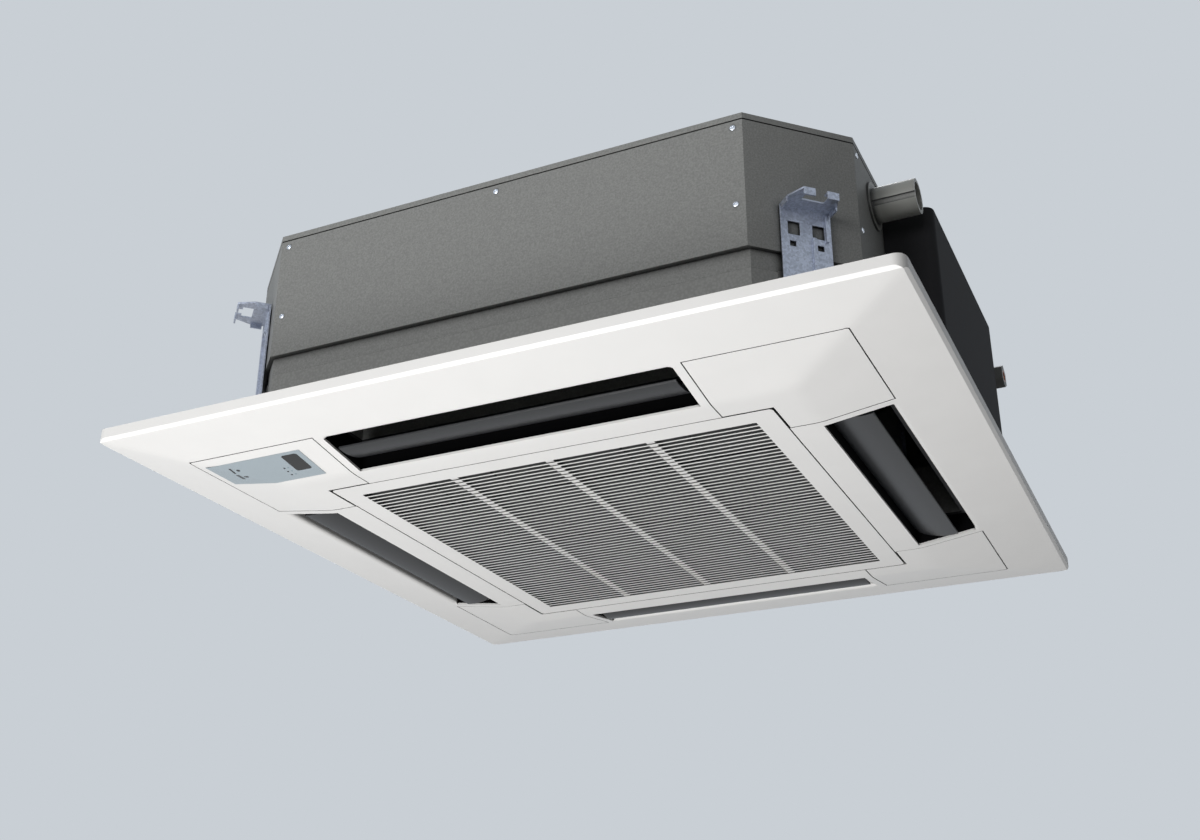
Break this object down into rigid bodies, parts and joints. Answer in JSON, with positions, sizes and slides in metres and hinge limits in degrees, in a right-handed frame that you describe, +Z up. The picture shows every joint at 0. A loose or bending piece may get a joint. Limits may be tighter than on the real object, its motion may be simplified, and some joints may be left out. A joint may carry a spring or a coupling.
{
  "type": "ceiling cassette air conditioner",
  "caption": "Ceiling cassette air conditioner with a square sloped panel, swinging intake grille, air louvres, turbo fan, folded heat exchanger and hanging brackets.",
  "frame": {"origin": "centre of the decorative panel in the plane of the ceiling", "axes": "+X along the front edge towards the pipe side, +Y to the hinge side of the grille, +Z up into the ceiling void"},
  "size_m": [0.95, 0.95, 0.299],
  "materials": {
    "panel_white": "fine matte moulding",
    "duct_black": "matte",
    "louvre_grey": "satin",
    "film_blue": "thin gloss film",
    "window_black": "gloss",
    "board_green": "solder mask",
    "spring_steel": "bright",
    "filter_grey": "matte",
    "net": "fine net",
    "motor_zinc": "satin",
    "bush_white": "satin",
    "foam_dark": "closed-cell foam",
    "casing_grey": "fine speckled coat",
    "screw_zinc": "zinc plated",
    "lining_grey": "insulating foam",
    "pan_grey": "moulded foam, coated",
    "bell_grey": "satin",
    "fan_grey": "satin",
    "shaft_steel": "ground",
    "rubber_black": "matte",
    "fins": "bare sheet",
    "copper": "bare copper",
    "nut_brass": "machined brass",
    "bracket_zinc": "zinc-coated sheet",
    "box_grey": "fine textured coat",
    "tray_zinc": "zinc-coated sheet",
    "pump_white": "satin",
    "float_orange": "satin",
    "hose_grey": "soft tube"
  },
  "bodies": {
    "unit": {"decorative_panel": "panel_white", "grille_hinge_pins": "spring_steel", "grille_clips": "spring_steel", "outlet_ducts": "duct_black", "louvre_motors": "motor_zinc", "louvre_bushes": "bush_white", "panel_seal": "foam_dark", "panel_screws": "screw_zinc", "upper_casing": "casing_grey", "top_plate": "casing_grey", "lower_casing": "casing_grey", "casing_screws": "screw_zinc", "wall_lining": "lining_grey", "top_lining": "lining_grey", "drain_pan": "pan_grey", "bell_mouth": "bell_grey", "fan_motor": "motor_zinc", "motor_rubbers": "rubber_black", "motor_bolts": "screw_zinc", "coil_fins": "fins", "coil_end_plates": "tray_zinc", "coil_return_bends": "copper", "gas_pipe": "copper", "liquid_pipe": "copper", "flare_nuts": "nut_brass", "pipe_plate": "casing_grey", "hanger_bracket_front_left": "bracket_zinc", "hanger_bracket_front_right": "bracket_zinc", "hanger_bracket_rear_right": "bracket_zinc", "hanger_bracket_rear_left": "bracket_zinc", "bracket_bolts": "screw_zinc", "control_box_tray": "tray_zinc", "control_box_cover": "box_grey", "control_board": "board_green", "terminal_block": "bush_white", "drain_pump": "pump_white", "pump_bracket": "bracket_zinc", "float_switch": "bush_white", "drain_hose": "hose_grey", "drain_socket": "casing_grey"},
    "fan": {"turbo_fan": "fan_grey", "motor_shaft": "shaft_steel", "fan_nut": "screw_zinc"},
    "louvre_front": {"louvre_front": "louvre_grey"},
    "louvre_right": {"louvre_right": "louvre_grey"},
    "louvre_rear": {"louvre_rear": "louvre_grey"},
    "louvre_left": {"louvre_left": "louvre_grey"},
    "grille": {"intake_grille": "panel_white"},
    "filter": {"filter_frame": "filter_grey", "filter_net": "net"},
    "cover_front_left": {"corner_cover_front_left": "panel_white", "display_film": "film_blue", "receiver_window": "window_black", "indicator_lamps": "window_black", "display_board": "board_green"},
    "cover_front_right": {"corner_cover_front_right": "panel_white"},
    "cover_rear_right": {"corner_cover_rear_right": "panel_white"},
    "cover_rear_left": {"corner_cover_rear_left": "panel_white"},
    "impeller": {"pump_impeller": "pump_white"},
    "float": {"float": "float_orange"}
  },
  "joints": [
    {"name": "fan_spin", "type": "hinge", "parent": "unit", "child": "fan", "pos_m": [0, 0, 0.2], "axis": [0, 0, 1], "continuous": true},
    {"name": "louvre_front_swing", "type": "hinge", "parent": "unit", "child": "louvre_front", "pos_m": [0, -0.34, -0.0215], "axis": [1, 0, 0], "range_deg": [-20, 55]},
    {"name": "louvre_right_swing", "type": "hinge", "parent": "unit", "child": "louvre_right", "pos_m": [0.34, 0, -0.0215], "axis": [0, 1, 0], "range_deg": [-20, 55]},
    {"name": "louvre_rear_swing", "type": "hinge", "parent": "unit", "child": "louvre_rear", "pos_m": [0, 0.34, -0.0215], "axis": [-1, 0, 0], "range_deg": [-20, 55]},
    {"name": "louvre_left_swing", "type": "hinge", "parent": "unit", "child": "louvre_left", "pos_m": [-0.34, 0, -0.0215], "axis": [0, -1, 0], "range_deg": [-20, 55]},
    {"name": "grille_swing", "type": "hinge", "parent": "unit", "child": "grille", "pos_m": [0, 0.2655, -0.032], "axis": [1, 0, 0], "range_deg": [0, 90]},
    {"name": "filter_lift", "type": "slide", "parent": "grille", "child": "filter", "axis": [0, 0, 1], "range_m": [0, 0.02]},
    {"name": "cover_front_left_pull", "type": "slide", "parent": "unit", "child": "cover_front_left", "axis": [0, 0, -1], "range_m": [0, 0.05]},
    {"name": "cover_front_right_pull", "type": "slide", "parent": "unit", "child": "cover_front_right", "axis": [0, 0, -1], "range_m": [0, 0.05]},
    {"name": "cover_rear_right_pull", "type": "slide", "parent": "unit", "child": "cover_rear_right", "axis": [0, 0, -1], "range_m": [0, 0.05]},
    {"name": "cover_rear_left_pull", "type": "slide", "parent": "unit", "child": "cover_rear_left", "axis": [0, 0, -1], "range_m": [0, 0.05]},
    {"name": "pump_spin", "type": "hinge", "parent": "unit", "child": "impeller", "pos_m": [0.335, -0.29, 0.1], "axis": [0, 0, 1], "continuous": true},
    {"name": "float_rise", "type": "slide", "parent": "unit", "child": "float", "axis": [0, 0, 1], "range_m": [0, 0.014]}
  ]
}
